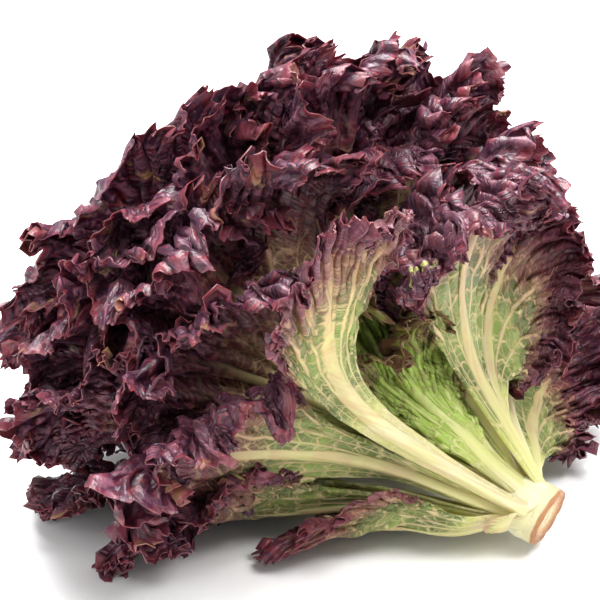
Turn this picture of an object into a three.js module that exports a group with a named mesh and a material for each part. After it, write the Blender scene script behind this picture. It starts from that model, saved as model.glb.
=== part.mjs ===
// A head of red leaf lettuce, cut at the stem and lying on its side.
// Millimetres, +Z up. The table is z = 0 and the origin lies under the middle of the head.
// The leaves grow in a spiral round a short tapered stem. Every leaf is a solid of its own: a stalk with
// a raised rib that fans out into a broad blade, nested between its neighbours without touching them.
import * as THREE from "three";

const rad = THREE.MathUtils.degToRad;
const { lerp, smoothstep } = THREE.MathUtils;

// How the head lies: its axis runs from the cut stem to the middle of the crown.
const HEAD_TILT = 21; // degrees that the axis rises from the table
const HEAD_TURN = 28; // degrees that the axis swings from -X towards +Y
const FRONT_RISE = 25; // degrees that the open front of the head looks up from -Y
const GROWTH_POINT = [92.2, -47.7, 24]; // where the lowest leaves leave the stem

// The stem.
const CUT_RADIUS = 14.5;
const CUT_DEPTH = 14; // from the growth point down to the cut
const CUT_CHAMFER = 0.8;
const CUT_SLANT = 3; // degrees that the knife's cut faces the front
const NECK_RADIUS = 13.2;
const NECK_DEPTH = 4;
const STEM_SIDES = 24;
const STEM_RINGS = 6;
const CORE_HEIGHT = 40; // from the lowest leaf to the highest one
const CORE_REACH = 12.5; // from the growth line out to the skin of the stem

// The leaves.
const LEAF_COUNT = 36;
const OUTER_COUNT = 13;
const MIDDLE_COUNT = 13;
const GOLDEN_ANGLE = 137.508; // degrees from one leaf to the next
const LEAST_LAYER = 0.06; // layer of the innermost leaf, where the outermost is 1
const OUTER_LENGTH = 165;
const INNER_LENGTH = 198;
const LOW_SIDE_GAIN = 26; // added to the leaves on the table side
const FAN_RADIUS = 64; // of the blade, from the end of the stalk to the margin
const FAN_ANGLE = 96; // degrees from the midrib to the lowest corner of the blade
const BASE_HALF_WIDTH = 8;
const STALK_HALF_WIDTH = 8;
const VEIN_BEND = 0.9; // share of the stalk that a vein climbs before it turns outwards into the blade
const LEAF_START = 15.5; // from the growth line to the foot of a leaf
const LEAST_GIRTH = 58; // the tightest roll of a blade round the axis

// How far the leaves open from the axis, in degrees.
const SPREAD_SIDE = 60;
const SPREAD_LOST_BELOW = 16; // where they lie on the table
const SPREAD_LOST_FRONT = 22; // where the head faces the viewer
const SPREAD_EASE = 45; // millimetres over which a stalk takes up its lean
const CURL_BACK = 30; // at the tip of a leaf
const CURL_FROM = 55; // millimetres of reach where the curl begins
const CURL_TO = 200;

// Thickness of a leaf.
const BLADE_HALF = 0.7;
const RIB_HEIGHT = 5; // on the outermost leaf
const INNER_RIB_HEIGHT = 2;
const RIB_HALF_WIDTH = 9;
const RIB_AT_FOOT = 0.3; // share of its height that the rib has at the foot
const RIB_RISE = 45; // millimetres over which it gains the rest
const RIB_FADE = 0.8;

// Where the head is pressed against the table.
const PRESS_HEIGHT = 30; // above this the head keeps its shape
const PRESS_DIP = 12;
const TABLE_Z = 0;
const LYING_GAP = 0.3; // what comes this close to the table lies flat on it

const STEPS_ACROSS = 8;
const STEPS_ALONG = 6;

// Leaves that differ from the rest: the narrow front leaf that sways up, the lowest leaf, which lies on the
// table, two long ones above it, short ones on the upper side, one with a low rib under the head, one that
// has dropped behind the stem and two young ones in the open front.
// Millimetres, with lean in degrees round the axis.
const YOUNG_LEAVES = [8, 16];
const ODD_LEAVES = new Map([
  [0, { length: 205.5, fan: 42, sway: 92, lean: -14 }],
  [2, { length: 114, fan: 54, sway: -10, lean: 8, layer: 1.08, bend: 0.45 }],
  [3, { length: 160, fan: 54, sway: -50, lean: 14 }],
  [5, { length: 200, fan: 70 }],
  [6, { length: 140, lean: -4 }],
  [7, { rib: 2.5 }],
  [8, { length: 94, fan: 44, bend: 0.4, lean: 9 }],
  [9, { length: 150, lean: -8, layer: 1.15 }],
  [10, { length: 198, fan: 80, layer: 0.95, lean: -6 }],
  [11, { length: 164 }],
  [16, { length: 116, fan: 46, bend: 0.4 }],
]);
// The foot of an old leaf, which was torn off.
const TORN_LEAF = {
  length: 17, fan: 8, bend: VEIN_BEND, sway: 0, turn: rad(-42), layer: 1.2, rib: 1.5,
};

const headAxis = new THREE.Vector3(
  -Math.cos(rad(HEAD_TILT)) * Math.cos(rad(HEAD_TURN)),
  Math.cos(rad(HEAD_TILT)) * Math.sin(rad(HEAD_TURN)),
  Math.sin(rad(HEAD_TILT)),
);
const frontLook = new THREE.Vector3(0, -Math.cos(rad(FRONT_RISE)), Math.sin(rad(FRONT_RISE)));
const headFront = frontLook.clone().addScaledVector(headAxis, -frontLook.dot(headAxis)).normalize();
const headSide = new THREE.Vector3().crossVectors(headAxis, headFront);
const growthPoint = new THREE.Vector3(...GROWTH_POINT);
const downTurn = Math.atan2(-headSide.z, -headFront.z);

// Degrees that the outermost layer opens from the axis, at a turn round it.
function spreadAt(turn) {
  const below = (1 + Math.cos(turn - downTurn)) / 2;
  const front = (1 + Math.cos(turn)) / 2;
  return SPREAD_SIDE - SPREAD_LOST_BELOW * below ** 2 - SPREAD_LOST_FRONT * front ** 2;
}

// The blades curl back towards their tips everywhere but on the table.
function curlAt(turn, reach) {
  const below = (1 + Math.cos(turn - downTurn)) / 2;
  return rad(CURL_BACK) * (1 - below) * smoothstep(reach, CURL_FROM, CURL_TO);
}

// The weight of the head flattens what would lie below the table.
function pressed(height) {
  const travel = PRESS_HEIGHT + PRESS_DIP;
  return height > PRESS_HEIGHT ? height : travel * Math.exp((height - PRESS_HEIGHT) / travel) - PRESS_DIP;
}

// A point of the head from its layer, its turn round the axis and its reach from the growth line.
function headPoint(layer, turn, reach) {
  const lean = smoothstep(reach - LEAF_START, 0, SPREAD_EASE);
  const open = rad(lerp(SPREAD_SIDE, spreadAt(turn), lean)) * layer + curlAt(turn, reach);
  const out = reach * Math.sin(open);
  const up = CORE_HEIGHT * (1 - layer) + reach * Math.cos(open);
  const point = growthPoint
    .clone()
    .addScaledVector(headAxis, up)
    .addScaledVector(headFront, out * Math.cos(turn))
    .addScaledVector(headSide, out * Math.sin(turn));
  point.z = pressed(point.z);
  return point;
}

// The flat leaf: lines run up the stalk and fan out to the margin, as its veins do.
function flatLeaf(leaf, across, along) {
  const angle = across * rad(FAN_ANGLE);
  const fanFoot = leaf.length - leaf.fan;
  const vein = new THREE.QuadraticBezierCurve(
    new THREE.Vector2(across * BASE_HALF_WIDTH, 0),
    new THREE.Vector2(across * STALK_HALF_WIDTH, fanFoot * leaf.bend),
    new THREE.Vector2(leaf.fan * Math.sin(angle), fanFoot + leaf.fan * Math.cos(angle)),
  );
  const flat = vein.getPoint(along);
  flat.x += leaf.sway * (flat.y / leaf.length) ** 2;
  return flat;
}

function leafPoint(leaf, across, along) {
  const flat = flatLeaf(leaf, across, along);
  const reach = LEAF_START + flat.y;
  const girth = Math.max(reach * Math.sin(rad(SPREAD_SIDE) * leaf.layer), Math.min(LEAST_GIRTH, reach));
  const turn = leaf.turn + flat.x / girth;
  return headPoint(leaf.layer, turn, reach);
}

// Points out of the leaf's back, away from the axis of the head.
function leafNormal(leaf, across, along) {
  const step = 0.02;
  const slope = (du, dv) =>
    leafPoint(leaf, across + du, along + dv).sub(leafPoint(leaf, across - du, along - dv));
  return slope(step, 0).cross(slope(0, step)).normalize();
}

// The rib stands out of the back of the leaf. It rises from the foot and fades towards the margin.
function ribHeight(leaf, across, along) {
  const flat = flatLeaf(leaf, across, along);
  const offset = (flat.x - flatLeaf(leaf, 0, along).x) / RIB_HALF_WIDTH;
  const rise = lerp(RIB_AT_FOOT, 1, smoothstep(flat.y, 0, RIB_RISE));
  return leaf.rib * rise * (1 - along) ** RIB_FADE * Math.exp(-2 * offset ** 2);
}

// A closed solid from the back and the front of a leaf, joined round the edge.
function leafGeometry(leaf) {
  const columns = STEPS_ACROSS + 1;
  const backs = [];
  const fronts = [];
  for (let row = 0; row <= STEPS_ALONG; row++) {
    for (let column = 0; column < columns; column++) {
      const across = (2 * column) / STEPS_ACROSS - 1;
      const along = row / STEPS_ALONG;
      const middle = leafPoint(leaf, across, along);
      const normal = leafNormal(leaf, across, along);
      middle.z = Math.max(middle.z, TABLE_Z + BLADE_HALF);
      const back = middle.clone().addScaledVector(normal, BLADE_HALF + ribHeight(leaf, across, along));
      const front = middle.clone().addScaledVector(normal, -BLADE_HALF);
      for (const face of [back, front]) if (face.z < TABLE_Z + LYING_GAP) face.z = TABLE_Z;
      backs.push(back);
      fronts.push(front);
    }
  }
  const faces = [];
  const quad = (a, b, c, d) => faces.push(a, b, c, a, c, d);
  const shift = backs.length; // from a point of the back to the one opposite it
  for (let row = 0; row < STEPS_ALONG; row++) {
    for (let column = 0; column < STEPS_ACROSS; column++) {
      const a = row * columns + column;
      quad(a, a + 1, a + columns + 1, a + columns);
      quad(shift + a, shift + a + columns, shift + a + columns + 1, shift + a + 1);
    }
  }
  const rim = [];
  for (let column = 0; column < STEPS_ACROSS; column++) rim.push(column);
  for (let row = 0; row < STEPS_ALONG; row++) rim.push(row * columns + STEPS_ACROSS);
  for (let column = STEPS_ACROSS; column > 0; column--) rim.push(STEPS_ALONG * columns + column);
  for (let row = STEPS_ALONG; row > 0; row--) rim.push(row * columns);
  rim.forEach((edge, i) => {
    const next = rim[(i + 1) % rim.length];
    quad(next, edge, shift + edge, shift + next);
  });
  return new THREE.BufferGeometry().setFromPoints([...backs, ...fronts]).setIndex(faces);
}

// The skin of the stem follows the feet of the leaves, and ends flat at the slanting cut.
function stemGeometry() {
  const profile = [
    new THREE.Vector2(0, -CUT_DEPTH),
    new THREE.Vector2(CUT_RADIUS - CUT_CHAMFER, -CUT_DEPTH),
    new THREE.Vector2(CUT_RADIUS, -CUT_DEPTH + CUT_CHAMFER),
    new THREE.Vector2(NECK_RADIUS, -NECK_DEPTH),
  ];
  for (let ring = 0; ring <= STEM_RINGS; ring++) {
    const layer = 1 - ring / STEM_RINGS;
    const open = rad(SPREAD_SIDE) * layer;
    const out = CORE_REACH * Math.sin(open);
    profile.push(new THREE.Vector2(out, CORE_HEIGHT * (1 - layer) + CORE_REACH * Math.cos(open)));
  }
  const geometry = new THREE.LatheGeometry(profile, STEM_SIDES).rotateX(Math.PI / 2);
  const points = geometry.attributes.position;
  for (let i = 0; i < points.count; i++) {
    const nearCut = smoothstep(-points.getZ(i), NECK_DEPTH, CUT_DEPTH - CUT_CHAMFER);
    points.setZ(i, points.getZ(i) + nearCut * points.getX(i) * Math.tan(rad(CUT_SLANT)));
  }
  return geometry;
}

const RED_LEAF = { color: 0x4a1420, roughness: 0.5, metalness: 0 };
const LIME_LEAF = { color: 0x8aa83a, roughness: 0.5, metalness: 0 };
const PALE_STEM = { color: 0xd9d3a6, roughness: 0.6, metalness: 0 };

function named(name, geometry, finish) {
  const mesh = new THREE.Mesh(geometry, new THREE.MeshStandardMaterial(finish));
  mesh.name = name;
  return mesh;
}

// Outer, middle and heart leaves are numbered from the outside in.
function leafName(index) {
  const number = (count) => String(count + 1).padStart(2, "0");
  if (index < OUTER_COUNT) return `outer_leaf_${number(index)}`;
  if (index < OUTER_COUNT + MIDDLE_COUNT) return `middle_leaf_${number(index - OUTER_COUNT)}`;
  return `heart_leaf_${number(index - OUTER_COUNT - MIDDLE_COUNT)}`;
}

const head = new THREE.Group();

const stem = new THREE.Group();
stem.matrixAutoUpdate = false;
stem.matrix.makeBasis(headFront, headSide, headAxis).setPosition(growthPoint);
stem.add(named("stem", stemGeometry(), PALE_STEM));
head.add(stem);

for (let index = 0; index < LEAF_COUNT; index++) {
  const inward = index / (LEAF_COUNT - 1);
  const turn = rad(GOLDEN_ANGLE * index);
  const low = (1 + Math.cos(turn - downTurn)) / 2;
  const leaf = {
    layer: lerp(1, LEAST_LAYER, inward),
    length: lerp(OUTER_LENGTH, INNER_LENGTH, inward) + LOW_SIDE_GAIN * low,
    fan: FAN_RADIUS,
    rib: lerp(RIB_HEIGHT, INNER_RIB_HEIGHT, inward),
    bend: VEIN_BEND,
    sway: 0,
    lean: 0,
    ...ODD_LEAVES.get(index),
  };
  leaf.turn = turn + rad(leaf.lean);
  const finish = YOUNG_LEAVES.includes(index) ? LIME_LEAF : RED_LEAF;
  head.add(named(leafName(index), leafGeometry(leaf), finish));
}

head.add(named("torn_leaf_base", leafGeometry(TORN_LEAF), PALE_STEM));

export default head;
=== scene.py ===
import math

import bmesh
import bpy
import numpy as np
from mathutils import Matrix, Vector


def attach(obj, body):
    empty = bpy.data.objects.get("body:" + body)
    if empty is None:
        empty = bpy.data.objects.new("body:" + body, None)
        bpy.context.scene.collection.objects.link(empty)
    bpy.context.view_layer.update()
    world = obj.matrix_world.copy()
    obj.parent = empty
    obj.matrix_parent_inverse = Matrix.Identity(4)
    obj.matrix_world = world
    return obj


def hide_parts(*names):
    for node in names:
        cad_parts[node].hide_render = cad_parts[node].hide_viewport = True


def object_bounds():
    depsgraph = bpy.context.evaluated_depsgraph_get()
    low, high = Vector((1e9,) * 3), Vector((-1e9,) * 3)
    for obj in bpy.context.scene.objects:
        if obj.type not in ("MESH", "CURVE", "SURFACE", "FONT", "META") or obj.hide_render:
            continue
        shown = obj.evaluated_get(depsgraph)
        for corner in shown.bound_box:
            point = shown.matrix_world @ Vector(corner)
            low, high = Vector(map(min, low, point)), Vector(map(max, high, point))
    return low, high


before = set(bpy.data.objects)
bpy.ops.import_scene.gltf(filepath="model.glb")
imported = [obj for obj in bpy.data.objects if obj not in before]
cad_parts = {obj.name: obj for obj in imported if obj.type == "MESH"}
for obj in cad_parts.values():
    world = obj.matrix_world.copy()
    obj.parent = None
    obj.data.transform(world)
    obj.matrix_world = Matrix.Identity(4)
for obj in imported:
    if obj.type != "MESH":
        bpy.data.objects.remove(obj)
cad_low, cad_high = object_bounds()

# The stem
# A short tapered stalk of pale, moist pith in a thin green skin, which carries every leaf in a spiral.
# A knife cut it slantwise below the lowest leaves, and the cut has dried to a brown rim.
HEAD_TILT = math.radians(21)  # that the axis of the head rises from the table
HEAD_TURN = math.radians(28)  # that it swings from -X towards +Y
FRONT_RISE = math.radians(25)  # that the open front looks up from -Y
GROWTH_POINT = np.array((0.0922, -0.0477, 0.024))  # where the lowest leaves leave the stem
CUT_RADIUS = 0.0145
CUT_DEPTH = 0.014
CUT_SLANT = math.radians(3)
NECK_RADIUS = 0.0132
NECK_DEPTH = 0.004
CORE_HEIGHT = 0.040  # from the lowest leaf to the highest one
CORE_REACH = 0.0125
SPREAD_SIDE = math.radians(60)  # that the outermost layer opens from the axis
GOLDEN_ANGLE = math.radians(137.508)  # from one leaf to the next round the stem

HEAD_AXIS = np.array((
    -math.cos(HEAD_TILT) * math.cos(HEAD_TURN),
    math.cos(HEAD_TILT) * math.sin(HEAD_TURN),
    math.sin(HEAD_TILT),
))
front_look = np.array((0, -math.cos(FRONT_RISE), math.sin(FRONT_RISE)))
front_look -= front_look.dot(HEAD_AXIS) * HEAD_AXIS
HEAD_FRONT = front_look / np.linalg.norm(front_look)
HEAD_SIDE = np.cross(HEAD_AXIS, HEAD_FRONT)


def smooth_step(value, low, high):
    share = np.clip((value - low) / (high - low), 0, 1)
    return share * share * (3 - 2 * share)


def wander(run, scale, strength, rng):
    """A smooth random line along run, with bends about scale long and of about that strength."""
    total = np.zeros_like(run)
    for _ in range(4):
        total += np.sin(2 * math.pi * run / (scale * rng.uniform(0.7, 1.6)) + rng.uniform(0, 2 * math.pi))
    return strength * total / 2


def read_points(mesh):
    points = np.empty(len(mesh.vertices) * 3)
    mesh.vertices.foreach_get("co", points)
    return points.reshape(-1, 3)


def write_points(mesh, points):
    mesh.vertices.foreach_set("co", points.astype(np.float32).ravel())
    mesh.update()


def store(mesh, name, values):
    """Keeps one number for each point, for the material to read."""
    mesh.attributes.new(name, "FLOAT", "POINT").data.foreach_set("value", values.astype(np.float32))


def place(tree, kind, **settings):
    made = tree.nodes.new(kind)
    for key, value in settings.items():
        setattr(made, key, value)
    return made


def feed(tree, socket, value):
    if isinstance(value, bpy.types.NodeSocket):
        tree.links.new(value, socket)
    else:
        socket.default_value = value


def calc(tree, operation, *values, clamp=False):
    made = place(tree, "ShaderNodeMath", operation=operation, use_clamp=clamp)
    for socket, value in zip(made.inputs, values):
        feed(tree, socket, value)
    return made.outputs[0]


def fade(tree, value, start, end, low=0.0, high=1.0):
    """Goes smoothly from low to high as value goes from start to end."""
    made = place(tree, "ShaderNodeMapRange", interpolation_type="SMOOTHSTEP")
    for socket, entry in zip(made.inputs, (value, start, end, low, high)):
        feed(tree, socket, entry)
    return made.outputs[0]


def blend(tree, factor, first, second, mode="MIX"):
    made = place(tree, "ShaderNodeMix", data_type="RGBA", blend_type=mode)
    feed(tree, made.inputs[0], factor)
    for socket, value in ((made.inputs[6], first), (made.inputs[7], second)):
        feed(tree, socket, value if isinstance(value, bpy.types.NodeSocket) else (*value, 1))
    return made.outputs[2]


def ramp(tree, factor, stops):
    made = place(tree, "ShaderNodeValToRGB")
    elements = made.color_ramp.elements
    elements.remove(elements[1])
    for index, (position, colour) in enumerate(stops):
        element = elements[0] if index == 0 else elements.new(position)
        element.position = position
        element.color = (*colour, 1)
    feed(tree, made.inputs[0], factor)
    return made.outputs[0]


def noise(tree, where, scale, detail=3.0, rough=0.55):
    made = place(tree, "ShaderNodeTexNoise")
    for name, value in (("Vector", where), ("Scale", scale), ("Detail", detail), ("Roughness", rough)):
        feed(tree, made.inputs[name], value)
    return made.outputs[0]


def attribute(tree, name):
    return place(tree, "ShaderNodeAttribute", attribute_name=name).outputs["Fac"]


def bump(tree, height, strength, distance):
    made = place(tree, "ShaderNodeBump")
    for name, value in (("Strength", strength), ("Distance", distance), ("Height", height)):
        feed(tree, made.inputs[name], value)
    return made.outputs[0]


def new_material(name):
    material = bpy.data.materials.new(name)
    material.use_nodes = True
    tree = material.node_tree
    return material, tree, tree.nodes["Principled BSDF"]


def finish_piece(piece, node):
    bpy.context.scene.collection.objects.link(piece)
    for polygon in piece.data.polygons:
        polygon.use_smooth = True
    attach(piece, "root")
    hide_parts(node)


STEM_STEPS = 96
PROFILE_CUTS = 3  # in each edge of the stem's outline
CORE_RINGS = 6
RIDGE_COUNT = 9  # stalks whose feet run on down the stem as ridges
RIDGE_HALF_ANGLE = 0.30  # radians
RIDGE_RISE = 0.16  # share of the stem's radius
RIDGE_LOSS = 0.04  # share that each ridge is lower than the one before it
STEM_LUMP = 0.035  # share of its radius that the stem swells and shrinks round its axis
LUMP_COUNTS = (2, 3, 5, 8, 13)  # lumps round the stem
LUMP_LOSS = 0.7  # power by which finer lumps are lower
PITH_DIP = 0.0012  # that the soft pith has shrunk below the rim
KNIFE_MARK = 0.00025  # depth of the marks that the knife left in the cut
KNIFE_MARK_COUNT = 9
KNIFE_MARK_SWIRL = 2400  # radians a metre, out from the middle of the cut
MIDDLE_SPOT = 0.001  # radius at the middle of the cut that has no marks
CUT_LIP = (0.0022, 0.0014)  # heights over the cut between which the skin ends
RIDGE_END = (0.0015, 0.0120)  # heights over the cut between which the ridges grow
GREEN_BY = 0.3  # share of the stem's core by which its skin has turned green
MERGE_DISTANCE = 1e-6
STEM_SEED = 11
CUT_FACE = (
    # distance from the axis, and share of the dip in the pith
    (0, 1),
    (0.0045, 1),
    (0.0085, 0.8),
    (0.0115, 0.4),
)
CUT_RIM = (
    # distance from the axis, and height over the cut
    (0.0130, -0.0002),
    (0.0140, 0),
    (CUT_RADIUS, 0.0009),
    (CUT_RADIUS, 0.003),
    (0.0138, 0.0065),
)

bm = bmesh.new()
profile = [(out, PITH_DIP * share - CUT_DEPTH) for out, share in CUT_FACE]
profile += [(out, up - CUT_DEPTH) for out, up in CUT_RIM]
profile.append((NECK_RADIUS, -NECK_DEPTH))
for ring in range(CORE_RINGS + 1):
    layer = 1 - ring / CORE_RINGS
    opening = SPREAD_SIDE * layer
    up = CORE_HEIGHT * (1 - layer) + CORE_REACH * math.cos(opening)
    profile.append((CORE_REACH * math.sin(opening), up))
line = [bm.verts.new((out, 0, up)) for out, up in profile]
edges = [bm.edges.new(pair) for pair in zip(line, line[1:])]
bmesh.ops.subdivide_edges(bm, edges=edges, cuts=PROFILE_CUTS)
bmesh.ops.spin(
    bm, geom=bm.verts[:] + bm.edges[:], axis=(0, 0, 1), cent=(0, 0, 0),
    steps=STEM_STEPS, angle=2 * math.pi, use_merge=True,
)
bmesh.ops.remove_doubles(bm, verts=bm.verts, dist=MERGE_DISTANCE)
bmesh.ops.recalc_face_normals(bm, faces=bm.faces)
stem_mesh = bpy.data.meshes.new("stem_visual")
bm.to_mesh(stem_mesh)
bm.free()

rng = np.random.default_rng(STEM_SEED)
points = read_points(stem_mesh)
bearing = np.arctan2(points[:, 1], points[:, 0])
radius = np.hypot(points[:, 0], points[:, 1])
on_cut = smooth_step(-points[:, 2], CUT_DEPTH - CUT_LIP[0], CUT_DEPTH - CUT_LIP[1])
lump = np.zeros_like(bearing)
for count in LUMP_COUNTS:
    lump += np.sin(count * bearing + rng.uniform(0, 2 * math.pi)) / count ** LUMP_LOSS
near_cut = smooth_step(-points[:, 2], NECK_DEPTH, CUT_DEPTH)
ridge = np.zeros_like(bearing)
for index in range(RIDGE_COUNT):
    turned = np.angle(np.exp(1j * (bearing - GOLDEN_ANGLE * index)))
    ridge = np.maximum(ridge, np.exp(-(turned / RIDGE_HALF_ANGLE) ** 2) * (1 - RIDGE_LOSS * index))
above_cut = smooth_step(points[:, 2] + CUT_DEPTH, *RIDGE_END)
points[:, :2] *= (1 + RIDGE_RISE * ridge * above_cut)[:, None]
points[:, :2] *= (1 + STEM_LUMP * lump * near_cut)[:, None]
points[:, 2] += near_cut * points[:, 0] * math.tan(CUT_SLANT)
marks = np.sin(bearing * KNIFE_MARK_COUNT + radius * KNIFE_MARK_SWIRL)
points[:, 2] += KNIFE_MARK * on_cut * marks * (radius > MIDDLE_SPOT)
store(stem_mesh, "cut", on_cut)
store(stem_mesh, "radius", radius / CUT_RADIUS)
store(stem_mesh, "ridge", ridge * above_cut)
store(stem_mesh, "climb", smooth_step(points[:, 2], -CUT_DEPTH, CORE_HEIGHT * GREEN_BY))
points = GROWTH_POINT + points @ np.array((HEAD_FRONT, HEAD_SIDE, HEAD_AXIS))
write_points(stem_mesh, points)
stem = bpy.data.objects.new("stem_visual", stem_mesh)

material, tree, shader = new_material("cut stem")
where = place(tree, "ShaderNodeTexCoord").outputs["Object"]
patches = noise(tree, where, 160.0, 4.0)
fibres = noise(tree, where, 900.0, 3.0)
spread = calc(tree, "MULTIPLY_ADD", calc(tree, "SUBTRACT", patches, 0.5), 0.35, attribute(tree, "radius"))
pith = ramp(tree, spread, (
    (0.0, (0.66, 0.50, 0.30)), (0.30, (0.72, 0.57, 0.36)), (0.52, (0.56, 0.36, 0.18)),
    (0.72, (0.42, 0.20, 0.08)), (0.88, (0.24, 0.085, 0.028)), (1.0, (0.34, 0.15, 0.05)),
))
pith = blend(tree, fade(tree, fibres, 0.42, 0.66, 0.0, 0.6), pith, (0.36, 0.19, 0.08))
climb = calc(tree, "MULTIPLY", attribute(tree, "climb"), 0.6)
skin = ramp(tree, calc(tree, "MULTIPLY_ADD", patches, 0.5, climb), (
    (0.15, (0.55, 0.44, 0.26)), (0.34, (0.58, 0.56, 0.33)),
    (0.55, (0.61, 0.61, 0.37)), (0.80, (0.58, 0.63, 0.28)),
))
skin = blend(tree, fade(tree, attribute(tree, "ridge"), 0.15, 0.8, 0.0, 0.75), skin, (0.65, 0.64, 0.44))
skin = blend(tree, fade(tree, fibres, 0.50, 0.72, 0.0, 0.4), skin, (0.60, 0.52, 0.30))
tree.links.new(blend(tree, attribute(tree, "cut"), skin, pith), shader.inputs["Base Color"])
tree.links.new(fade(tree, fibres, 0.2, 0.8, 0.38, 0.62), shader.inputs["Roughness"])
tree.links.new(bump(tree, fibres, 0.5, 0.0012), shader.inputs["Normal"])
shader.inputs["Subsurface Weight"].default_value = 0.15
shader.inputs["Subsurface Radius"].default_value = (0.004, 0.003, 0.0015)
shader.inputs["Subsurface Scale"].default_value = 1.0
stem_mesh.materials.append(material)
finish_piece(stem, "stem")

# The leaves
# Each leaf is one thin, brittle sheet: a thick juicy stalk with ribs on its back, which fans out into a
# broad blade. The margin grows faster than the blade, so it buckles into frills that carry finer frills.
LEAF_COUNT = 36
OUTER_COUNT = 13
MIDDLE_COUNT = 13
LEAST_LAYER = 0.06
OUTER_LENGTH = 0.165
INNER_LENGTH = 0.198
LOW_SIDE_GAIN = 0.026  # added to the leaves on the table side
HIGH_SIDE_GAIN = 0.014  # added to the inner leaves on the upper side
FAN_RADIUS = 0.064  # of the blade's round outer part
FAN_ANGLE = math.radians(96)
STALK_HALF_WIDTH = 0.008
VEIN_BEND = 0.9  # share of the stalk up to which the veins run side by side
LEAF_START = 0.0155  # from the growth line
LEAST_GIRTH = 0.058  # round which the innermost leaves are rolled
SPREAD_LOST_BELOW = math.radians(16)  # by the leaves on the table side
SPREAD_LOST_FRONT = math.radians(22)  # by the leaves at the open front
SPREAD_EASE = 0.045
CURL_BACK = math.radians(30)  # of the upper leaves, away from the axis
CURL_FROM = 0.055
CURL_TO = 0.200
PRESS_HEIGHT = 0.030  # below which the table presses the head
PRESS_DIP = 0.012
LYING_HEIGHT = 0.005  # frills this close to the table spread out on it
FRILL_LIFT = 0.006  # that the table lifts a margin, so that its frills have room
LIFT_HEIGHT = 0.03
LIFT_FROM = 0.4  # share of the leaf
DOWN_TURN = math.atan2(-HEAD_SIDE[2], -HEAD_FRONT[2])

COLUMNS = 20
BANDS = (
    # share of the leaf where the band begins, and its rows: each band has twice the columns of the last
    (0.0, 9),
    (0.30, 6),
    (0.48, 9),
    (0.70, 6),
    (0.80, 4),
    (0.88, 4),
)
BLADE_THICKNESS = 0.00045
RIB_THICKNESS = 0.0075
INNER_RIB_THICKNESS = 0.003
RIB_HALF_WIDTH = 0.0078
RIB_TAPER = 1.5  # power by which the rib thins towards the tip
RIB_ROUNDING = 2  # how steeply it falls off to its sides
RIB_AT_FOOT = 0.08  # share of its thickness at the foot
FOOT_LENGTH = 0.035  # of stalk over which it thickens
STIFF_WIDTH = 1.3  # half widths of the rib that stay free of bulges and pits
STIFF_UP_TO = (0.6, 0.85)  # shares of the leaf between which the rib turns soft
VEIN_COUNT = 7  # main veins of a blade
SIDE_RIBS = (0.286, 0.571, 0.857)  # shares of the half width where the main veins beside the rib run
SIDE_RIB_THICKNESS = 0.0018
SIDE_RIB_HALF_WIDTH = 0.0020
SIDE_RIB_TAPER = 0.7
SIDE_RIB_CLEAR = (0.6, 1.6)  # half widths of the rib, between which a side rib stands clear of it
TABLE_GAP = 0.001  # that the backs of the ribs keep from the table
LEAST_DOWN = 0.2  # of a back's slope, where that gap is measured
FRILLS = (
    # wave along the margin, degrees that it swings to either side, share of the leaf where it begins
    (0.125, 50, 0.36),
    (0.036, 100, 0.50),
    (0.0120, 75, 0.68),
)
WAVE_SPREAD = (0.9, 1.1)  # between which one leaf's waves differ from another's
FRILL_EASE = 1.2  # power by which a frill grows towards the margin
FRILL_SWELL = (3, 0.4)  # waves from one big frill to the next, and how much bigger it is
FRILL_SWELL_LIMITS = (0.3, 1.5)
FRILL_DRIFT = (2.6, 1.0)  # waves over which the frills crowd and thin out, and by how many radians
FRILL_FORK = (4, 9.0)  # the same, but growing from the margin inwards, so that the frills fork
MARGIN_STRETCH = 5.0  # of the margin, against the blade that it borders
EDGE_STRETCH = 3.0  # of the sides of the blade
EDGE_POWER = 4  # that keeps that stretch close to the sides
SWING_LIMIT = 2.3  # radians
SUBSTEPS = 4  # between two columns, when a margin is traced
SIDE_BAND = 0.75  # share of the half width beyond which the sides of a blade are frilled too
SIDE_FRILL = 0.8  # of the swing at the margin
SIDE_EASE = (0.1, 0.2)  # shares of the leaf before and after its start, over which a side frill grows
PITS = (
    # width of a pit, its depth, and the share of the leaf where the pits begin
    (0.0120, 0.0075, 0.50),
)
PIT_WALL = 0.8  # share of its cell over which a pit falls to its floor
PIT_EASE = 0.2  # share of the leaf over which the pits deepen
PIT_RUN = 2.2  # length of a blade, in fan radii, over which the pits are spread
PIT_SWING = 1.6  # from the highest bump to the deepest pit
PIT_BUMP = 0.4  # of that, the bumps
HOLLOW_LEAST = 0.4  # painted shade of the shallowest pits, as a share of that of the deepest
BULGE_HEIGHT = 0.0014
BULGE_WAVES = (24, 46)  # radians across the half width of a leaf and along it
BULGE_SLANT = 3
BULGE_PHASE = 6
BULGE_FROM = (0.3, 0.55)
LOBES = (
    # width of the lobes along the margin, and their depth as a share of the leaf
    (0.080, 0.014),
    (0.030, 0.010),
    (0.012, 0.006),
)
RAGGED_FROM = 0.8  # share of the leaf
TOOTH_PITCH = 0.0072
TOOTH_DEPTH = 0.018  # of the leaf's length
TOOTH_DRIFT = (0.02, 0.5)  # length of margin over which the teeth crowd, and by how many teeth
TOOTH_POINT = 1.5  # power that sharpens the teeth
CORNER_LOSS = 0.24  # of the leaf's length, where the corners of the blade are rounded off
CORNER_FROM = 0.7  # share of the half width
FOOT_DEPTH = 0.0055  # that the foot of a leaf reaches into the stem
FOOT_OVER = 0.1  # share of the leaf
SHEATH_DROP = 0.0085  # that the feet of the outer leaves run down the stem
SHEATH_RADIUS = 0.0128
SHEATH_INNER = 0.4  # share of that radius for the innermost leaf
SHEATH_LAYERS = (0.55, 0.85)  # from layers without a sheath to layers with a full one
SHEATH_CLIMB = 0.06  # up the stem, for the whole length of a leaf
SHEATH_OVER = 0.26  # share of the leaf over which it parts from the stem
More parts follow.
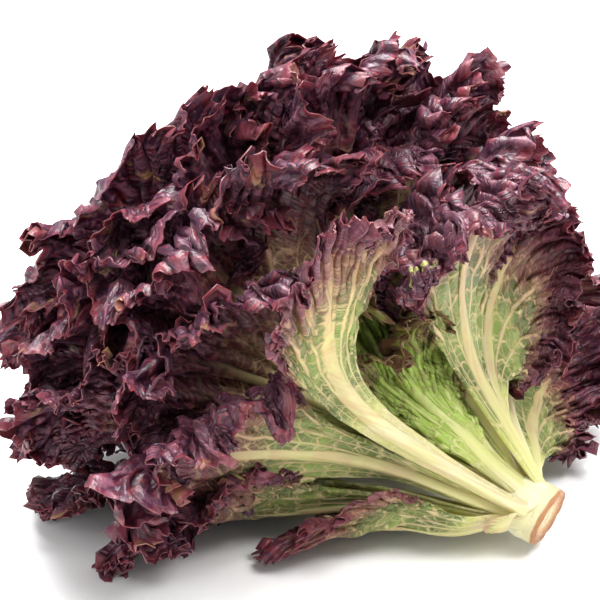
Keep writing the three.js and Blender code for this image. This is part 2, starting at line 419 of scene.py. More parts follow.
SLOPE_STEP = 0.01  # share of a leaf over which its slope is measured
TWIST_OVER = 0.3  # share of the leaf over which a stalk turns
ROLL_FROM = 0.78  # share of the leaf beyond which its blade rolls back
OUTER_ROLL = 110  # degrees at the margin
INNER_ROLL = 85
ROLL_SPREAD = 15  # degrees that one leaf differs from its neighbours
ROLL_DRIFT = (0.16, 0.3)  # length of margin over which the roll changes, and by which share
ROLL_LIMITS = (0.4, 1.6)
MIDDLE_RIPER = 0.06  # share of a leaf that the red reaches further down at its middle
FLAT_SCALE = 5  # units of the flat map in a metre
FLAT_SPREAD_FROM = 0.5  # share of the leaf beyond which the map is stretched with the margin
BOX_SLACK = 0.008  # past the solid leaves' box, beyond which the frills are held back
BOX_GIVE = 0.008

# Leaves that differ from the spiral's rule: the front ones, those on the table, two young ones and some of
# the upper and left ones. A lean turns a leaf round the axis of the head, and a twist turns it about its own
# rib, both in degrees.
ODD_LEAVES = {
    0: dict(length=0.204, fan=0.038, sway=0.094, lean=-14, green=0.20, shade=0.1, frill=0.85, roll=45),
    1: dict(twist=-45, green=0.25, shade=0.3, frill=0.9),
    2: dict(
        length=0.114, fan=0.054, base=0.016, sway=-0.010, lean=8, layer=1.08, bend=0.45,
        green=0.22, shade=0, frill=0.7, roll=30,
    ),
    3: dict(length=0.160, fan=0.052, lean=14, sway=-0.052, green=0.05, shade=0.3),
    5: dict(length=0.194, fan=0.070, green=0.04, shade=0.3, frill=0.9, roll=125),
    6: dict(length=0.140, lean=-4, twist=-50, green=0.16, shade=0.4, frill=0.9),
    7: dict(rib=0.0045),
    8: dict(length=0.096, fan=0.045, lean=9, bend=0.4, frill=0.8, green=0, roll=60),
    9: dict(length=0.150, lean=-11, layer=1.15, twist=-70, green=0.12, shade=0.4),
    10: dict(length=0.182, fan=0.074, layer=0.89, lean=-7, shade=0.4, roll=70),
    11: dict(length=0.162),
    15: dict(length=0.212, layer=0.72, lean=10, roll=40),
    16: dict(length=0.116, fan=0.046, bend=0.4, frill=0.8, green=0, roll=60),
    18: dict(length=0.208, roll=60),
    23: dict(length=0.208, layer=0.46, roll=50),
}
YOUNG_LEAVES = (8, 16)
LEAF_SEED = 100  # of the outermost leaf: each further leaf has the next one
TORN_LEAF_SEED = 201


def flat_leaf(leaf, across, along):
    """The leaf before it is rolled and frilled: lines run up the stalk and fan out to the margin."""
    angle = across * FAN_ANGLE
    foot = leaf["length"] - leaf["fan"]
    rest = 1 - along
    x = across * leaf["base"] * (rest ** 2 + 2 * rest * along)
    x = x + leaf["fan"] * np.sin(angle) * along ** 2
    y = 2 * foot * leaf["bend"] * rest * along + (foot + leaf["fan"] * np.cos(angle)) * along ** 2
    return x + leaf["sway"] * (y / leaf["length"]) ** 2, y


def head_point(layer, turn, reach):
    """A point of the head from its layer, its turn round the axis and its reach from the growth line."""
    below = (1 + np.cos(turn - DOWN_TURN)) / 2
    front = (1 + np.cos(turn)) / 2
    lean = smooth_step(reach - LEAF_START, 0, SPREAD_EASE)
    lost = SPREAD_LOST_BELOW * below ** 2 + SPREAD_LOST_FRONT * front ** 2
    curl = CURL_BACK * (1 - below) * smooth_step(reach, CURL_FROM, CURL_TO)
    opening = (SPREAD_SIDE - lost * lean) * layer + curl
    up = CORE_HEIGHT * (1 - layer) + reach * np.cos(opening)
    out = reach * np.sin(opening)
    steps = np.stack((out * np.cos(turn), out * np.sin(turn), up), axis=1)
    return GROWTH_POINT + steps @ np.array((HEAD_FRONT, HEAD_SIDE, HEAD_AXIS))


def pressed(height):
    """The weight of the head flattens what would lie below the table."""
    travel = PRESS_HEIGHT + PRESS_DIP
    squeezed = travel * np.exp((np.minimum(height, PRESS_HEIGHT) - PRESS_HEIGHT) / travel) - PRESS_DIP
    return np.where(height > PRESS_HEIGHT, height, squeezed)


def laid(height):
    """Frills close to the table bend away from it."""
    low = LYING_HEIGHT * np.exp(np.minimum(height, LYING_HEIGHT) / LYING_HEIGHT - 1)
    return np.where(height > LYING_HEIGHT, height, low)


def unit(vectors):
    return vectors / np.maximum(np.linalg.norm(vectors, axis=1, keepdims=True), 1e-12)


def on_layer(leaf, across, along):
    """A leaf on its layer of the head, with its foot wrapped round the stem."""
    x, y = flat_leaf(leaf, across, along)
    reach = LEAF_START + y - FOOT_DEPTH * (1 - smooth_step(along, 0, FOOT_OVER))
    girth = np.maximum(reach * math.sin(SPREAD_SIDE * leaf["layer"]), np.minimum(LEAST_GIRTH, reach))
    turn = leaf["turn"] + x / girth
    clasp = (1 - smooth_step(along, 0, SHEATH_OVER)) * smooth_step(leaf["layer"], *SHEATH_LAYERS)
    outward = np.cos(turn)[:, None] * HEAD_FRONT + np.sin(turn)[:, None] * HEAD_SIDE
    climb = (SHEATH_CLIMB * along - SHEATH_DROP)[:, None]
    radius = SHEATH_RADIUS * (SHEATH_INNER + (1 - SHEATH_INNER) * leaf["layer"])
    at_stem = GROWTH_POINT + radius * outward + climb * HEAD_AXIS
    points = head_point(leaf["layer"], turn, reach)
    return points + clasp[:, None] * (at_stem - points)


def rolled_leaf(leaf, across, along):
    """A leaf in its place in the head, turned about its own rib and pressed by the table."""
    points = on_layer(leaf, across, along)
    if leaf["twist"]:
        middle = np.zeros_like(across)
        centre = on_layer(leaf, middle, along)
        before = on_layer(leaf, middle, along - SLOPE_STEP)
        onward = unit(on_layer(leaf, middle, along + SLOPE_STEP) - before)
        angle = (math.radians(leaf["twist"]) * smooth_step(along, 0, TWIST_OVER))[:, None]
        arm = points - centre
        kept = onward * (onward * arm).sum(1, keepdims=True)
        points = centre + kept + (arm - kept) * np.cos(angle) + np.cross(onward, arm) * np.sin(angle)
    points[:, 2] = pressed(points[:, 2])
    return points


def point_normals(mesh):
    normals = np.empty(len(mesh.vertices) * 3)
    mesh.vertex_normals.foreach_get("vector", normals)
    return normals.reshape(-1, 3)


MARGIN_COLUMNS = COLUMNS * 2 ** (len(BANDS) - 1)
band_starts = [sum(rows for _, rows in BANDS[:index]) for index in range(len(BANDS) + 1)]
bm = bmesh.new()
bmesh.ops.create_grid(bm, x_segments=COLUMNS, y_segments=band_starts[-1], size=1)
for start in band_starts[1:-1]:
    fine_from = 2 * (start - 0.01) / band_starts[-1] - 1
    crossways = [edge for edge in bm.edges if abs(edge.verts[0].co.y - edge.verts[1].co.y) < MERGE_DISTANCE]
    fine_edges = [edge for edge in crossways if edge.verts[0].co.y > fine_from]
    bmesh.ops.subdivide_edges(bm, edges=fine_edges, cuts=1, use_single_edge=True)
for edge in bm.edges:
    edge.smooth = not edge.is_boundary
leaf_grid = bpy.data.meshes.new("leaf_grid")
bm.to_mesh(leaf_grid)
bm.free()


def pit_pattern(x, y, size, rng):
    """For each point, how far it lies inside its cell of a random pattern, and a number of the cell's own."""
    column = np.floor((x - x.min()) / size).astype(int) + 1
    row = np.floor((y - y.min()) / size).astype(int) + 1
    shape = (column.max() + 2, row.max() + 2)
    seed_x = rng.uniform(0, 1, shape) + np.arange(-1, shape[0] - 1)[:, None]
    seed_y = rng.uniform(0, 1, shape) + np.arange(-1, shape[1] - 1)[None, :]
    own = rng.uniform(0, 1, shape)
    nearest = np.full_like(x, np.inf)
    second = np.full_like(x, np.inf)
    number = np.zeros_like(x)
    for step_x in (-1, 0, 1):
        for step_y in (-1, 0, 1):
            spot = (column + step_x, row + step_y)
            far = np.hypot(seed_x[spot] - (x - x.min()) / size, seed_y[spot] - (y - y.min()) / size)
            closer = far < nearest
            second = np.where(closer, nearest, np.minimum(second, far))
            number = np.where(closer, own[spot], number)
            nearest = np.where(closer, far, nearest)
    return smooth_step(second - nearest, 0, PIT_WALL), number


def frilled_rows(leaf, along, rng):
    """Where the rows of a leaf run: a margin too long for its blade swings to and fro, wave upon wave."""
    half = FAN_ANGLE * leaf["fan"]
    margin = np.linspace(-1, 1, MARGIN_COLUMNS * SUBSTEPS + 1)
    run = margin * half * MARGIN_STRETCH
    beside = np.clip((np.abs(margin) - SIDE_BAND) / (1 - SIDE_BAND), 0, 1)
    past_corner = np.sign(margin) * margin ** EDGE_POWER * (leaf["length"] - leaf["fan"]) * EDGE_STRETCH
    rest = (1 - along)[:, None]
    swing = np.zeros((len(along), len(margin)))
    for wave, angle, start in FRILLS:
        depth = np.clip((along - start) / (1 - start), 0, 1)[:, None] ** FRILL_EASE
        at_side = smooth_step(along, start - SIDE_EASE[0], start + SIDE_EASE[1])[:, None]
        at_side = SIDE_FRILL * beside * at_side
        swell = np.clip(1 + wander(run, FRILL_SWELL[0] * wave, FRILL_SWELL[1], rng), *FRILL_SWELL_LIMITS)
        phase = 2 * math.pi * (run + rest * past_corner) / (wave * rng.uniform(*WAVE_SPREAD))
        phase = phase + wander(run, FRILL_DRIFT[0] * wave, FRILL_DRIFT[1], rng)
        phase = phase + rest * wander(run, FRILL_FORK[0] * wave, FRILL_FORK[1], rng)
        swing += math.radians(angle) * np.maximum(depth, at_side) * swell * np.sin(phase)
    swing = SWING_LIMIT * np.tanh(leaf["frill"] * swing / SWING_LIMIT)
    aside = np.cumsum(np.cos(swing), axis=1)
    height = np.cumsum(np.sin(swing), axis=1)
    window = int(2 * FRILLS[0][0] / (run[1] - run[0]))
    padded = np.pad(height, ((0, 0), (window // 2 + 1, window - window // 2)), mode="edge")
    total = np.cumsum(padded, axis=1)
    height -= (total[:, window:window + len(margin)] - total[:, :len(margin)]) / window
    aside -= aside[:, len(margin) // 2, None]
    lengths = np.where(margin < 0, -aside[:, :1], aside[:, -1:])
    across = aside / lengths
    height *= 2 * half / (aside[:, -1:] - aside[:, :1])
    return across[:, ::SUBSTEPS], height[:, ::SUBSTEPS], swing[:, ::SUBSTEPS]


def rolled_back(leaf, across, reach_on, roll):
    """A blade whose outer part is rolled over its back, and the way that its back looks."""
    points = rolled_leaf(leaf, across, reach_on)
    sideways = rolled_leaf(leaf, across + SLOPE_STEP, reach_on)
    sideways -= rolled_leaf(leaf, across - SLOPE_STEP, reach_on)
    climb = rolled_leaf(leaf, across, reach_on + SLOPE_STEP)
    climb = (climb - rolled_leaf(leaf, across, reach_on - SLOPE_STEP)) / (2 * SLOPE_STEP)
    normals = unit(np.cross(sideways, climb))
    speed = np.linalg.norm(climb, axis=1)
    past = np.maximum(reach_on - ROLL_FROM, 0) * speed
    bend = roll / ((1 - ROLL_FROM) * speed)
    turned = bend * past
    onward = np.sin(turned) / bend - past
    outward = (1 - np.cos(turned)) / bend
    points += unit(climb) * onward[:, None] + normals * outward[:, None]
    normals = normals * np.cos(turned)[:, None] - unit(climb) * np.sin(turned)[:, None]
    return points, normals, unit(sideways)


def held_in(points):
    """The outermost frills are squeezed rather than let out of the head's box."""
    for axis in range(3):
        low = cad_low[axis] - BOX_SLACK
        high = cad_high[axis] + BOX_SLACK
        over = np.maximum(points[:, axis] - high, 0)
        under = np.maximum(low - points[:, axis], 0)
        points[:, axis] -= over - BOX_GIVE * np.tanh(over / BOX_GIVE)
        points[:, axis] += under - BOX_GIVE * np.tanh(under / BOX_GIVE)
    return points


def leaf_mesh(name, leaf, rng):
    """The front of a leaf, frilled and laid on the table, and how thick the leaf is behind it."""
    mesh = leaf_grid.copy()
    mesh.name = name
    grid = read_points(mesh)
    row = np.rint((grid[:, 1] + 1) / 2 * band_starts[-1]).astype(int)
    column = np.rint((grid[:, 0] + 1) / 2 * MARGIN_COLUMNS).astype(int)
    row_along = np.interp(np.arange(band_starts[-1] + 1), band_starts, [start for start, _ in BANDS] + [1])
    row_across, row_height, row_swing = frilled_rows(leaf, row_along, rng)
    along = row_along[row]
    across = row_across[row, column]
    height = row_height[row, column]
    run = grid[:, 0] * FAN_ANGLE * leaf["fan"] * MARGIN_STRETCH
    lobes = sum(wander(run, width, depth, rng) for width, depth in LOBES)
    tooth = np.abs((run / TOOTH_PITCH + wander(run, *TOOTH_DRIFT, rng)) % 1 - 0.5) * 2
    ragged = lobes + TOOTH_DEPTH * (tooth ** TOOTH_POINT - 0.5)
    reach_on = along * (1 + smooth_step(along, RAGGED_FROM, 1) * ragged)
    reach_on = reach_on * (1 - CORNER_LOSS * smooth_step(np.abs(grid[:, 0]), CORNER_FROM, 1) * along ** 2)

    roll = math.radians(leaf["roll"]) * np.clip(1 + wander(run, *ROLL_DRIFT, rng), *ROLL_LIMITS)
    points, normals, sideways = rolled_back(leaf, across, reach_on, roll)
    across = grid[:, 0]
    flat_x, flat_y = flat_leaf(leaf, across, along)
    middle_x, _ = flat_leaf(leaf, np.zeros_like(along), along)
    from_rib = (flat_x - middle_x) / RIB_HALF_WIDTH
    soft = 1 - np.exp(-(from_rib / STIFF_WIDTH) ** 2) * (1 - smooth_step(along, *STIFF_UP_TO))
    swing = row_swing[row, column][:, None]
    facing = normals * np.cos(swing) - sideways * np.sin(swing)
    bulge = np.sin(across * BULGE_WAVES[0] + rng.uniform(0, BULGE_PHASE))
    bulge *= np.sin(along * BULGE_WAVES[1] + BULGE_SLANT * across + rng.uniform(0, BULGE_PHASE))
    bulge *= BULGE_HEIGHT * leaf["frill"] * soft * smooth_step(along, *BULGE_FROM)
    points += normals * (height + bulge)[:, None]
    hollow = np.zeros_like(along)
    for width, depth, start in PITS:
        inside, number = pit_pattern(run, along * PIT_RUN * leaf["fan"], width, rng)
        inside = inside * soft * smooth_step(along, start, start + PIT_EASE)
        points -= facing * (depth * leaf["frill"] * inside * (PIT_SWING * number - PIT_BUMP))[:, None]
        hollow += inside * (HOLLOW_LEAST + (1 - HOLLOW_LEAST) * number) * depth / PITS[0][1]
    lift = FRILL_LIFT * leaf["frill"] * smooth_step(along, LIFT_FROM, 1)
    points[:, 2] = laid(points[:, 2] + lift * (1 - smooth_step(points[:, 2], 0, LIFT_HEIGHT)))
    points = held_in(points)
    write_points(mesh, points)

    rise = RIB_AT_FOOT + (1 - RIB_AT_FOOT) * smooth_step(flat_y, 0, FOOT_LENGTH)
    thickness = leaf["rib"] * rise * (1 - along) ** RIB_TAPER * np.exp(-RIB_ROUNDING * from_rib ** 2)
    half_width = np.abs(flat_leaf(leaf, np.ones_like(along), along)[0] - middle_x)
    for side_rib in SIDE_RIBS:
        offset = (np.abs(across) - side_rib) * half_width / SIDE_RIB_HALF_WIDTH
        clear = smooth_step(side_rib * half_width / RIB_HALF_WIDTH, *SIDE_RIB_CLEAR)
        thickness += SIDE_RIB_THICKNESS * clear * (1 - along) ** SIDE_RIB_TAPER * np.exp(-offset ** 2)
    down = np.maximum(-point_normals(mesh)[:, 2], LEAST_DOWN)
    thickness = BLADE_THICKNESS + np.minimum(thickness, np.maximum(points[:, 2] - TABLE_GAP, 0) / down)

    # hollow: how far each point lies in a pit, where the material paints shade
    store(mesh, "hollow", np.clip(hollow, 0, 1))
    store(mesh, "half_width", half_width)
    store(mesh, "shade", np.full_like(along, leaf["shade"]))
    store(mesh, "ripeness", along - leaf["green"] + MIDDLE_RIPER * (1 - np.abs(across)))
    corners = np.empty(len(mesh.loops), dtype=np.int32)
    mesh.loops.foreach_get("vertex_index", corners)
    spread_x = flat_x * (1 + (MARGIN_STRETCH - 1) * smooth_step(along, FLAT_SPREAD_FROM, 1))
    for layer_name, u, v in (
        ("grid", (across + 1) / 2, along),
        ("flat", spread_x * FLAT_SCALE + 0.5, flat_y * FLAT_SCALE),
    ):
        layer = mesh.uv_layers.new(name=layer_name)
        layer.data.foreach_set("uv", np.stack((u, v), axis=1)[corners].astype(np.float32).ravel())
    return mesh, thickness


def add_leaf(node, leaf, materials, rng):
    mesh, thickness = leaf_mesh(node + "_visual", leaf, rng)
    piece = bpy.data.objects.new(node + "_visual", mesh)
    for material in materials:
        mesh.materials.append(material)
    thickest = float(thickness.max())
    group = piece.vertex_groups.new(name="thickness")
    for index, share in enumerate((thickness / thickest).tolist()):
        group.add((index,), share, "REPLACE")
    solid = piece.modifiers.new("thickness", "SOLIDIFY")
    solid.thickness = thickest
    solid.offset = 1
    solid.vertex_group = "thickness"
    solid.material_offset = 1
    finish_piece(piece, node)


# Veins of a leaf: main ones fan out from the stalk, side ones branch off them, and a net joins them.
VEIN_HALF_WIDTHS = (0.0003, 0.0014)  # of a main vein at the margin, and what it gains down to the stalk
VEIN_MOST_SHARE = 0.042  # of the blade's half width
BRANCH_PITCH = 0.0105
BRANCH_SLANT = 1.1
RIB_POINT = 1.7  # power by which the rib narrows towards the tip

veins = bpy.data.node_groups.new("leaf veins", "ShaderNodeTree")
for socket, kind in (("Grid", "Vector"), ("Flat", "Vector"), ("Half width", "Float")):
    veins.interface.new_socket(socket, in_out="INPUT", socket_type="NodeSocket" + kind)
for socket in (
    "Rib", "Main", "Side", "Net", "Patches", "Grain", "Edge", "Streaks", "Crinkle", "Pits", "Mottle",
):
    veins.interface.new_socket(socket, in_out="OUTPUT", socket_type="NodeSocketFloat")
inside = place(veins, "NodeGroupInput").outputs
result = place(veins, "NodeGroupOutput").inputs
grid = place(veins, "ShaderNodeSeparateXYZ")
veins.links.new(inside["Grid"], grid.inputs[0])
across = calc(veins, "MULTIPLY_ADD", grid.outputs[0], 2.0, -1.0)
along = grid.outputs[1]
flat = place(veins, "ShaderNodeSeparateXYZ")
veins.links.new(inside["Flat"], flat.inputs[0])
warp = noise(veins, inside["Flat"], 14.0, 2.0)
drift = calc(veins, "MULTIPLY", calc(veins, "SUBTRACT", warp, 0.5), 0.05)
turned = calc(veins, "MULTIPLY_ADD", calc(veins, "ADD", across, drift), VEIN_COUNT / 2, 0.5)
turned = calc(veins, "SUBTRACT", calc(veins, "FRACT", turned), 0.5)
gap = calc(veins, "MULTIPLY", calc(veins, "ABSOLUTE", turned), 2 / VEIN_COUNT)
distance = calc(veins, "MULTIPLY", gap, inside["Half width"])
rest = calc(veins, "SUBTRACT", 1.0, along)
half_line = calc(veins, "MULTIPLY_ADD", rest, VEIN_HALF_WIDTHS[1], VEIN_HALF_WIDTHS[0])
widest_line = calc(veins, "MULTIPLY", inside["Half width"], VEIN_MOST_SHARE)
half_line = calc(veins, "MINIMUM", half_line, widest_line)
from_rib = calc(veins, "MULTIPLY", calc(veins, "ABSOLUTE", across), inside["Half width"])
half_rib = calc(veins, "MULTIPLY", calc(veins, "POWER", rest, RIB_POINT), RIB_HALF_WIDTH)
rib_share = calc(veins, "DIVIDE", calc(veins, "MULTIPLY_ADD", drift, 0.03, from_rib), half_rib)
veins.links.new(fade(veins, rib_share, 0.7, 1.05, 1.0, 0.0), result["Rib"])
line_share = calc(veins, "DIVIDE", distance, half_line)
veins.links.new(fade(veins, line_share, 0.3, 1.0, 1.0, 0.0), result["Main"])
climb = calc(veins, "MULTIPLY", flat.outputs[1], 1 / FLAT_SCALE)
chevron = calc(veins, "SUBTRACT", climb, calc(veins, "MULTIPLY", distance, BRANCH_SLANT))
chevron = calc(veins, "ADD", chevron, calc(veins, "MULTIPLY", warp, 0.012))
branch = calc(veins, "FRACT", calc(veins, "MULTIPLY", chevron, 1 / BRANCH_PITCH))
branch = calc(veins, "ABSOLUTE", calc(veins, "SUBTRACT", branch, 0.5))
veins.links.new(fade(veins, branch, 0.03, 0.11, 1.0, 0.0), result["Side"])
cells = place(veins, "ShaderNodeTexVoronoi", feature="DISTANCE_TO_EDGE")
veins.links.new(inside["Flat"], cells.inputs["Vector"])
cells.inputs["Scale"].default_value = 38.0
veins.links.new(fade(veins, cells.outputs["Distance"], 0.02, 0.12, 1.0, 0.0), result["Net"])
patches = noise(veins, inside["Flat"], 7.0, 4.0)
veins.links.new(patches, result["Patches"])
# Edge: a narrow strip along the margin, broken by patches, painted as the lit rim of the red leaves
rim = calc(veins, "MULTIPLY_ADD", calc(veins, "SUBTRACT", patches, 0.5), 0.22, along)
veins.links.new(fade(veins, rim, 0.97, 1.01), result["Edge"])
veins.links.new(noise(veins, inside["Flat"], 180.0, 2.0), result["Grain"])
veins.links.new(noise(veins, inside["Flat"], 42.0, 3.0), result["Mottle"])
stretch = place(veins, "ShaderNodeMapping")
stretch.inputs["Scale"].default_value = (90.0, 5.0, 1.0)
veins.links.new(inside["Flat"], stretch.inputs["Vector"])
veins.links.new(noise(veins, stretch.outputs[0], 1.0, 3.0), result["Streaks"])
where = place(veins, "ShaderNodeTexCoord").outputs["Object"]
folds = calc(veins, "ABSOLUTE", calc(veins, "SUBTRACT", noise(veins, where, 240.0, 3.0), 0.5))
veins.links.new(fade(veins, folds, 0.0, 0.16), result["Crinkle"])
# Pits: small hollows, which make the bump and where the material paints shade
pits = place(veins, "ShaderNodeTexVoronoi", feature="SMOOTH_F1")
veins.links.new(inside["Flat"], pits.inputs["Vector"])
pits.inputs["Scale"].default_value = 33.0
pits.inputs["Smoothness"].default_value = 0.25
veins.links.new(fade(veins, pits.outputs["Distance"], 0.15, 0.55, 1.0, 0.0), result["Pits"])


def leaf_material(name, stops, vein_stops, streak, edge, ridge_sheen_colour, vein_strength, relief, rough):
    """Coloured from stalk to margin by stops, with veins, painted shade in the pits, painted sheen on the
    ridges and a red or brown edge.
    """
    material, tree, shader = new_material(name)
    group = place(tree, "ShaderNodeGroup", node_tree=veins)
    for layer_name, socket in (("grid", "Grid"), ("flat", "Flat")):
        tree.links.new(place(tree, "ShaderNodeUVMap", uv_map=layer_name).outputs[0], group.inputs[socket])
    tree.links.new(attribute(tree, "half_width"), group.inputs["Half width"])
    rib, main, side, net, patches, grain, rim, streaks, crinkle, pits, mottle = group.outputs
    ripe = calc(tree, "MULTIPLY_ADD", calc(tree, "SUBTRACT", patches, 0.5), 0.42, attribute(tree, "ripeness"))
    blade = ramp(tree, ripe, stops)
    # A leaf's shade darkens its ripe part, more towards the heart and by a random amount; less on the upper
    # side is painted light
    shaded = calc(tree, "MULTIPLY", fade(tree, ripe, 0.5, 0.72), attribute(tree, "shade"))
    blade = blend(tree, shaded, blade, SHADE, "MULTIPLY")
    # Painted shade in the pits (the leaf's own pits and the finer ones of the pattern) on the ripe part
    hollow = calc(tree, "MULTIPLY", attribute(tree, "hollow"), 0.6)
    hollow = calc(tree, "MULTIPLY_ADD", pits, 0.55, hollow, clamp=True)
    pit_shade = calc(tree, "MULTIPLY", hollow, fade(tree, ripe, 0.55, 0.75, 0.2, 0.75))
    blade = blend(tree, pit_shade, blade, PIT, "MULTIPLY")
    blotch = calc(tree, "MULTIPLY", fade(tree, mottle, 0.46, 0.62, 0.0, 0.7), fade(tree, ripe, 0.6, 0.75))
    blade = blend(tree, blotch, blade, edge)
    # Painted sheen highlight: the ridges between the pits are lightened, in patches of the mottle
    ridge = calc(tree, "SUBTRACT", mottle, calc(tree, "MULTIPLY", hollow, 0.6))
    ridge = fade(tree, ridge, 0.34, 0.56, 0.0, 0.45)
    blade = blend(tree, calc(tree, "MULTIPLY", ridge, fade(tree, ripe, 0.7, 0.85)), blade, ridge_sheen_colour)
    blade = blend(tree, fade(tree, patches, 0.62, 0.70, 0.0, 0.75), blade, streak)
    # Painted light on the red leaves: their thin margins are painted a lighter red, as if light shone through
    # them; on the young leaves this strip is a brown tip
    blade = blend(tree, calc(tree, "MULTIPLY", rim, 0.6), blade, edge)
    ribs = calc(tree, "MULTIPLY_ADD", net, 0.45, calc(tree, "MULTIPLY", side, 0.7))
    ribs = calc(tree, "MAXIMUM", main, ribs, clamp=True)
    ribs = calc(tree, "MAXIMUM", rib, ribs)
    shown = calc(tree, "MULTIPLY", ribs, fade(tree, ripe, 0.55, 0.85, vein_strength, 0.06))
    rib_colour = ramp(tree, ripe, vein_stops)
    rib_colour = blend(tree, fade(tree, streaks, 0.42, 0.66, 0.0, 0.55), rib_colour, streak)
    rib_colour = blend(tree, fade(tree, patches, 0.45, 0.62, 0.0, 0.6), rib_colour, PALE_GREEN)
    colour = blend(tree, shown, blade, rib_colour)
    raised = calc(tree, "MULTIPLY", ribs, fade(tree, ripe, 0.45, 0.75, relief, 0.12 * relief))
    folded = calc(tree, "MULTIPLY", crinkle, fade(tree, ripe, 0.4, 0.75, 0.1, 0.2))
    sunk = calc(tree, "MULTIPLY", pits, fade(tree, ripe, 0.6, 0.8, 0.0, 1.1))
    folded = calc(tree, "SUBTRACT", folded, sunk)
    height = calc(tree, "MULTIPLY_ADD", grain, 0.12, calc(tree, "ADD", raised, folded))
    normal = bump(tree, height, 0.6, 0.0012)
    tree.links.new(colour, shader.inputs["Base Color"])
    tree.links.new(fade(tree, grain, 0.25, 0.8, rough, rough + 0.16), shader.inputs["Roughness"])
    tree.links.new(normal, shader.inputs["Normal"])
    shader.inputs["Sheen Weight"].default_value = 0.08
    shader.inputs["Sheen Roughness"].default_value = 0.4
    shader.inputs["Sheen Tint"].default_value = (*BLOOM, 1)
    glow = place(tree, "ShaderNodeBsdfTranslucent")
    lit = place(tree, "ShaderNodeHueSaturation")
    lit.inputs["Value"].default_value = 1.9
    lit.inputs["Saturation"].default_value = 1.08
    tree.links.new(colour, lit.inputs["Color"])
    tree.links.new(lit.outputs[0], glow.inputs["Color"])
    mixed = place(tree, "ShaderNodeMixShader")
    mixed.inputs[0].default_value = 0.25
    tree.links.new(shader.outputs[0], mixed.inputs[1])
    tree.links.new(glow.outputs[0], mixed.inputs[2])
    tree.links.new(mixed.outputs[0], tree.nodes["Material Output"].inputs["Surface"])
    return material


PALE = (0.72, 0.69, 0.48)
CREAM = (0.64, 0.57, 0.31)
STALK_TAN = (0.60, 0.46, 0.24)
PINK_TAN = (0.55, 0.33, 0.20)
YELLOW_GREEN = (0.48, 0.52, 0.15)
PALE_GREEN = (0.62, 0.63, 0.27)
GREEN = (0.25, 0.32, 0.075)
DARK_GREEN = (0.105, 0.140, 0.034)
PINK_BROWN = (0.24, 0.10, 0.065)
BURGUNDY = (0.128, 0.021, 0.046)
PURPLE = (0.085, 0.018, 0.042)
RED = (0.22, 0.026, 0.040)
# painted sheen highlight for the ridges of the red leaves
PLUM_SHEEN = (0.27, 0.145, 0.205)
PIT = (0.36, 0.34, 0.42)  # painted shade in the pits: what they keep of their colour
LIME = (0.35, 0.49, 0.075)
BROWN_TIP = (0.16, 0.07, 0.025)
SHADE = (0.42, 0.45, 0.62)  # what the darkest leaves keep of their colour
BLOOM = (0.80, 0.52, 0.80)  # purple grey bloom on the skin

red_front = leaf_material(
    "red leaf front",
    (
        (0.0, CREAM), (0.2, YELLOW_GREEN), (0.42, GREEN), (0.58, PINK_BROWN),
        (0.68, BURGUNDY), (0.84, PURPLE), (1.0, PURPLE),
    ),
    ((0.0, CREAM), (0.5, YELLOW_GREEN), (0.7, PINK_BROWN), (1.0, RED)),
    YELLOW_GREEN, RED, PLUM_SHEEN, 0.6, -0.5, 0.29,
)
red_back = leaf_material(
    "red leaf back",
    (
        (0.0, CREAM), (0.1, YELLOW_GREEN), (0.22, DARK_GREEN), (0.40, GREEN), (0.54, DARK_GREEN),
        (0.64, PINK_BROWN), (0.75, BURGUNDY), (0.9, PURPLE), (1.0, PURPLE),
    ),
    ((0.0, PALE), (0.12, CREAM), (0.45, STALK_TAN), (0.65, PINK_TAN), (0.85, PINK_BROWN), (1.0, RED)),
    PINK_TAN, RED, PLUM_SHEEN, 0.85, 1.0, 0.33,
)
lime_front = leaf_material(
    "young leaf front",
    ((0.0, CREAM), (0.25, YELLOW_GREEN), (0.5, LIME), (0.85, LIME), (0.95, PINK_BROWN), (1.0, BROWN_TIP)),
    ((0.0, CREAM), (0.6, YELLOW_GREEN), (1.0, LIME)), LIME, BROWN_TIP, LIME, 0.6, -0.5, 0.36,
)
lime_back = leaf_material(
    "young leaf back",
    ((0.0, CREAM), (0.25, YELLOW_GREEN), (0.5, LIME), (0.85, LIME), (0.95, PINK_BROWN), (1.0, BROWN_TIP)),
    ((0.0, PALE), (0.3, CREAM), (1.0, YELLOW_GREEN)), YELLOW_GREEN, BROWN_TIP, LIME, 0.8, 1.0, 0.40,
)

GREEN_SPREAD = 0.1  # share of a leaf by which the red begins higher on some of the outer ones
SHADE_OUTER = 0.4  # of the outermost leaf, on a scale where the heart has 1
SHADE_SPREAD = 0.3
SHADE_LOST_ABOVE = 0.25  # by the leaves of the upper side: painted light where the light falls from above

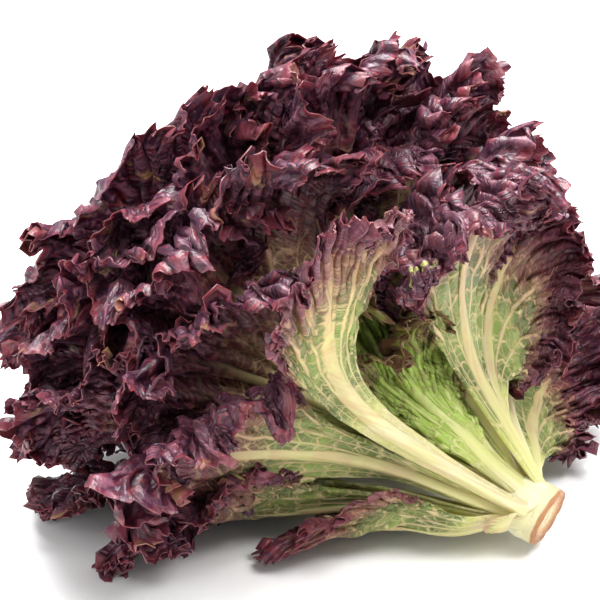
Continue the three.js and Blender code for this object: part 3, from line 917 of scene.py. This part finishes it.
for index in range(LEAF_COUNT):
    inward = index / (LEAF_COUNT - 1)
    rng = np.random.default_rng(LEAF_SEED + index)
    turn = GOLDEN_ANGLE * index
    low_side = (1 + math.cos(turn - DOWN_TURN)) / 2
    side_gain = LOW_SIDE_GAIN * low_side + HIGH_SIDE_GAIN * (1 - low_side) * inward
    green = rng.uniform(0, GREEN_SPREAD) * (1 - inward)
    shade = min(SHADE_OUTER + inward, 1) - rng.uniform(0, SHADE_SPREAD) - SHADE_LOST_ABOVE * (1 - low_side)
    leaf = dict(
        layer=1 + (LEAST_LAYER - 1) * inward,
        length=OUTER_LENGTH + (INNER_LENGTH - OUTER_LENGTH) * inward + side_gain,
        fan=FAN_RADIUS,
        rib=RIB_THICKNESS + (INNER_RIB_THICKNESS - RIB_THICKNESS) * inward,
        base=STALK_HALF_WIDTH,
        bend=VEIN_BEND,
        sway=0,
        lean=0,
        twist=0,
        frill=1,
        green=green,
        shade=max(shade, 0),
        roll=OUTER_ROLL + (INNER_ROLL - OUTER_ROLL) * inward + rng.uniform(-ROLL_SPREAD, ROLL_SPREAD),
    )
    leaf.update(ODD_LEAVES.get(index, {}))
    leaf["turn"] = turn + math.radians(leaf["lean"])
    kind, number = "outer_leaf", index
    if index >= OUTER_COUNT:
        kind, number = "middle_leaf", index - OUTER_COUNT
    if index >= OUTER_COUNT + MIDDLE_COUNT:
        kind, number = "heart_leaf", index - OUTER_COUNT - MIDDLE_COUNT
    young = index in YOUNG_LEAVES
    add_leaf(
        f"{kind}_{number + 1:02d}", leaf,
        (lime_back, lime_front) if young else (red_back, red_front), rng,
    )

# The torn leaf base
# The pale foot of an old leaf that was pulled off when the head was trimmed: a short, soft flap of stalk
# with a frayed edge, still fast to the stem.
torn_material = leaf_material(
    "torn leaf", ((0.0, PALE), (0.5, CREAM), (0.9, YELLOW_GREEN), (1.0, PINK_TAN)),
    ((0.0, PALE), (1.0, CREAM)), YELLOW_GREEN, PINK_TAN, PALE, 0.5, 0.8, 0.4,
)
torn_leaf = dict(
    layer=1.2, turn=math.radians(-42), length=0.017, fan=0.008, rib=0.0024,
    base=STALK_HALF_WIDTH, bend=VEIN_BEND, sway=0, twist=0, frill=0.05, green=0, shade=0, roll=20,
)
rng = np.random.default_rng(TORN_LEAF_SEED)
add_leaf("torn_leaf_base", torn_leaf, (torn_material, torn_material), rng)

# The table
# A plain white surface under soft studio lights.
TABLE_HALF_SIZE = 6
AMBIENT_LIGHT = 0.65
LIGHT_AIM = Vector((0, 0, 0.1))

bm = bmesh.new()
bmesh.ops.create_grid(bm, x_segments=1, y_segments=1, size=TABLE_HALF_SIZE)
table_mesh = bpy.data.meshes.new("table")
bm.to_mesh(table_mesh)
bm.free()
table = bpy.data.objects.new("table", table_mesh)
bpy.context.scene.collection.objects.link(table)
material, tree, shader = new_material("white table")
shader.inputs["Base Color"].default_value = (0.92, 0.92, 0.92, 1)
shader.inputs["Roughness"].default_value = 0.7
table_mesh.materials.append(material)

world = bpy.data.worlds.new("studio")
bpy.context.scene.world = world
world.use_nodes = True
world.node_tree.nodes["Background"].inputs["Color"].default_value = (1, 1, 1, 1)
world.node_tree.nodes["Background"].inputs["Strength"].default_value = AMBIENT_LIGHT
for name, spot, size, power in (
    # place and width of the lamp, and its power in watts
    ("key light", (0.55, -0.55, 1.25), 0.7, 20),
    ("top light", (-0.15, 0.40, 1.3), 0.9, 58),
    ("fill light", (-0.9, -0.9, 0.7), 0.9, 7),
):
    light = bpy.data.lights.new(name, "AREA")
    light.size = size
    light.energy = power
    lamp = bpy.data.objects.new(name, light)
    lamp.location = spot
    lamp.rotation_euler = (LIGHT_AIM - Vector(spot)).to_track_quat("-Z", "Y").to_euler()
    bpy.context.scene.collection.objects.link(lamp)
bpy.context.scene.view_settings.view_transform = "Standard"

CAMERA_RISE = math.radians(21)
CAMERA_DISTANCE = 0.95
CAMERA_AIM = Vector((-0.0108, -0.0177, 0.1130))
VIEW_WIDTH = 0.276  # across the picture at the aim
back_off = Vector((0, -math.cos(CAMERA_RISE), math.sin(CAMERA_RISE)))
camera = bpy.data.objects.new("camera", bpy.data.cameras.new("camera"))
camera.location = CAMERA_AIM + back_off * CAMERA_DISTANCE
camera.rotation_euler = (-back_off).to_track_quat("-Z", "Y").to_euler()
camera.data.sensor_width = 36
camera.data.lens = camera.data.sensor_width * CAMERA_DISTANCE / VIEW_WIDTH
bpy.context.scene.collection.objects.link(camera)
bpy.context.scene.camera = camera
